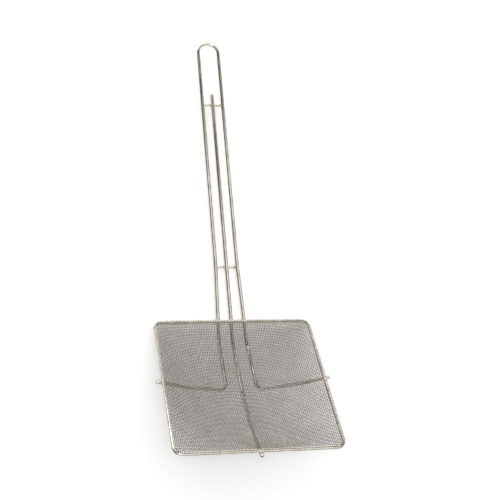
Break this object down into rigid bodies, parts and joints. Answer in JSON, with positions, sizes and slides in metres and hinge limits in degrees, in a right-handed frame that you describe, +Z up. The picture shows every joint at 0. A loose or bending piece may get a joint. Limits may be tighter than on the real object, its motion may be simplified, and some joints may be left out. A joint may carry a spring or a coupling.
{
  "type": "square wire-mesh skimmer",
  "caption": "Square fry skimmer: a shallow dish of fine woven wire mesh on a wire rim, with a long flat handle of parallel wires ending in a hanging loop.",
  "frame": {"origin": "centre of the whole skimmer's footprint, on the table that it lies on", "axes": "+X to the right across the rim, +Y along the handle from the dish to the hanging loop, +Z up from the table"},
  "size_m": [0.182, 0.5114, 0.077],
  "materials": {
    "plated_wire": "bright nickel-chrome plated steel wire",
    "wire_cloth": "plated plain-woven steel wire cloth, slightly dull"
  },
  "bodies": {
    "root": {"handle_wire": "plated_wire", "centre_rod": "plated_wire", "upper_cross_bar": "plated_wire", "lower_cross_bar": "plated_wire", "rim_wire": "plated_wire", "mesh_dish": "wire_cloth"}
  },
  "joints": []
}
